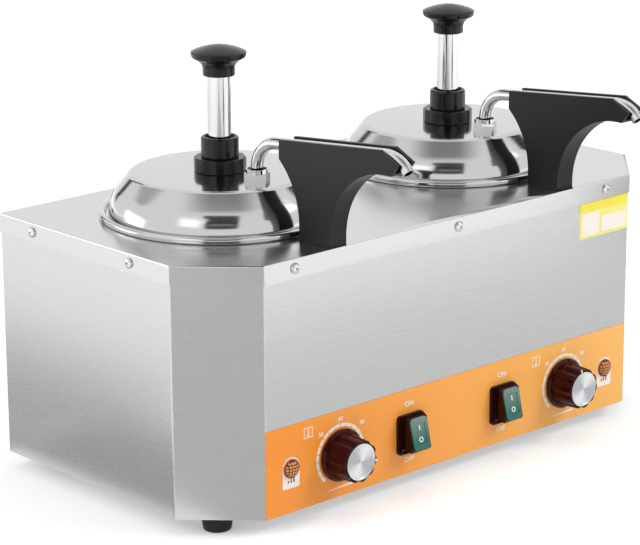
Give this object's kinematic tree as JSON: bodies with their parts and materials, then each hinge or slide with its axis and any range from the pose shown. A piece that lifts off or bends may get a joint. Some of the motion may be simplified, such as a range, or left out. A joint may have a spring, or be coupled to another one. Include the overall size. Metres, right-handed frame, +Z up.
{
  "type": "hot fudge topping warmer",
  "caption": "Countertop topping warmer: sheet-steel cabinet with water baths, lift-out pots, domed lids with plunger pumps, spouts in black shrouds, knobs and lit switches.",
  "frame": {"origin": "middle of the footprint of the whole part, on the floor that the feet stand on", "axes": "+X along the cabinet to the right as seen from the front, +Y to the back, +Z up"},
  "size_m": [0.4744, 0.325, 0.3223],
  "materials": {
    "shell_steel": "fine brushed stainless sheet",
    "cover_steel": "polished stainless sheet",
    "mirror_steel": "mirror-polished spun stainless",
    "pump_steel": "bright drawn stainless",
    "pump_plastic": "natural acetal",
    "seal_rubber": "moulded seal rubber",
    "screw_steel": "bright stainless fasteners",
    "foot_rubber": "black rubber",
    "overlay": "satin printed film",
    "black_plastic": "satin black moulding",
    "knob_plastic": "dark brown moulding",
    "knob_metal": "spun aluminium",
    "spindle_metal": "turned steel",
    "switch_plastic": "dark moulding",
    "window_green": "green translucent plastic",
    "lamp_white": "white moulding",
    "lamp_amber": "amber translucent plastic",
    "element_metal": "pressed heater plate",
    "thermostat_body": "dark phenolic moulding",
    "block_plastic": "white nylon"
  },
  "bodies": {
    "cabinet": {"cabinet_shell": "shell_steel", "back_panel": "shell_steel", "base_plate": "shell_steel", "top_cover": "cover_steel", "control_panel": "overlay", "case_screws": "screw_steel", "base_screws": "screw_steel", "rubber_feet": "foot_rubber", "foot_screws": "screw_steel", "switch_housings": "switch_plastic", "lamp_holders": "lamp_white", "lamp_lenses": "lamp_amber", "thermostats": "thermostat_body", "water_wells": "mirror_steel", "pot_stands": "pump_steel", "heating_elements": "element_metal", "cable_gland": "black_plastic", "gland_nut": "black_plastic", "terminal_block": "block_plastic", "spout_shroud_left": "black_plastic", "spout_shroud_right": "black_plastic"},
    "lid_left": {"lid_left": "mirror_steel", "ring_nut_left": "black_plastic", "pump_collar_left": "black_plastic", "pump_cylinder_left": "pump_plastic", "foot_valve_left": "pump_plastic", "riser_tube_left": "pump_steel", "outlet_nut_left": "mirror_steel", "spout_tube_left": "mirror_steel"},
    "pot_left": {"pot_left": "pump_steel"},
    "plunger_left": {"plunger_rod_left": "mirror_steel", "plunger_knob_left": "black_plastic", "piston_left": "pump_plastic", "piston_seal_left": "seal_rubber", "return_spring_left": "pump_steel"},
    "thermostat_left": {"thermostat_knob_left": "knob_plastic", "knob_cap_left": "knob_metal", "knob_spindle_left": "spindle_metal"},
    "rocker_left": {"rocker_left": "switch_plastic", "rocker_window_left": "window_green"},
    "lid_right": {"lid_right": "mirror_steel", "ring_nut_right": "black_plastic", "pump_collar_right": "black_plastic", "pump_cylinder_right": "pump_plastic", "foot_valve_right": "pump_plastic", "riser_tube_right": "pump_steel", "outlet_nut_right": "mirror_steel", "spout_tube_right": "mirror_steel"},
    "pot_right": {"pot_right": "pump_steel"},
    "plunger_right": {"plunger_rod_right": "mirror_steel", "plunger_knob_right": "black_plastic", "piston_right": "pump_plastic", "piston_seal_right": "seal_rubber", "return_spring_right": "pump_steel"},
    "thermostat_right": {"thermostat_knob_right": "knob_plastic", "knob_cap_right": "knob_metal", "knob_spindle_right": "spindle_metal"},
    "rocker_right": {"rocker_right": "switch_plastic", "rocker_window_right": "window_green"}
  },
  "joints": [
    {"name": "lid_left_lift", "type": "slide", "parent": "cabinet", "child": "lid_left", "axis": [0, 0.2079, 0.9781], "range_m": [0, 0.375]},
    {"name": "pot_left_lift", "type": "slide", "parent": "cabinet", "child": "pot_left", "axis": [0, 0, 1], "range_m": [0, 0.15]},
    {"name": "plunger_left_press", "type": "slide", "parent": "lid_left", "child": "plunger_left", "axis": [0, 0, -1], "range_m": [0, 0.044], "stiffness_N_per_m": 600, "springref_m": -0.02, "deforming": ["return_spring_left"]},
    {"name": "thermostat_left_turn", "type": "hinge", "parent": "cabinet", "child": "thermostat_left", "pos_m": [-0.1175, -0.09173, 0.0435], "axis": [0, 1, 0], "range_deg": [-233, 37]},
    {"name": "rocker_left_tip", "type": "hinge", "parent": "cabinet", "child": "rocker_left", "pos_m": [-0.0488, -0.09433, 0.0435], "axis": [1, 0, 0], "range_deg": [0, 26]},
    {"name": "lid_right_lift", "type": "slide", "parent": "cabinet", "child": "lid_right", "axis": [0, 0.2079, 0.9781], "range_m": [0, 0.375]},
    {"name": "pot_right_lift", "type": "slide", "parent": "cabinet", "child": "pot_right", "axis": [0, 0, 1], "range_m": [0, 0.15]},
    {"name": "plunger_right_press", "type": "slide", "parent": "lid_right", "child": "plunger_right", "axis": [0, 0, -1], "range_m": [0, 0.044], "stiffness_N_per_m": 600, "springref_m": -0.02, "deforming": ["return_spring_right"]},
    {"name": "thermostat_right_turn", "type": "hinge", "parent": "cabinet", "child": "thermostat_right", "pos_m": [0.1175, -0.09173, 0.0435], "axis": [0, 1, 0], "range_deg": [-125, 145]},
    {"name": "rocker_right_tip", "type": "hinge", "parent": "cabinet", "child": "rocker_right", "pos_m": [0.0488, -0.09433, 0.0435], "axis": [1, 0, 0], "range_deg": [0, 26]}
  ],
  "couplings": [
    {"joint": "pot_left_lift", "follows": "lid_left_lift", "ratio": 0.4},
    {"joint": "pot_right_lift", "follows": "lid_right_lift", "ratio": 0.4}
  ]
}
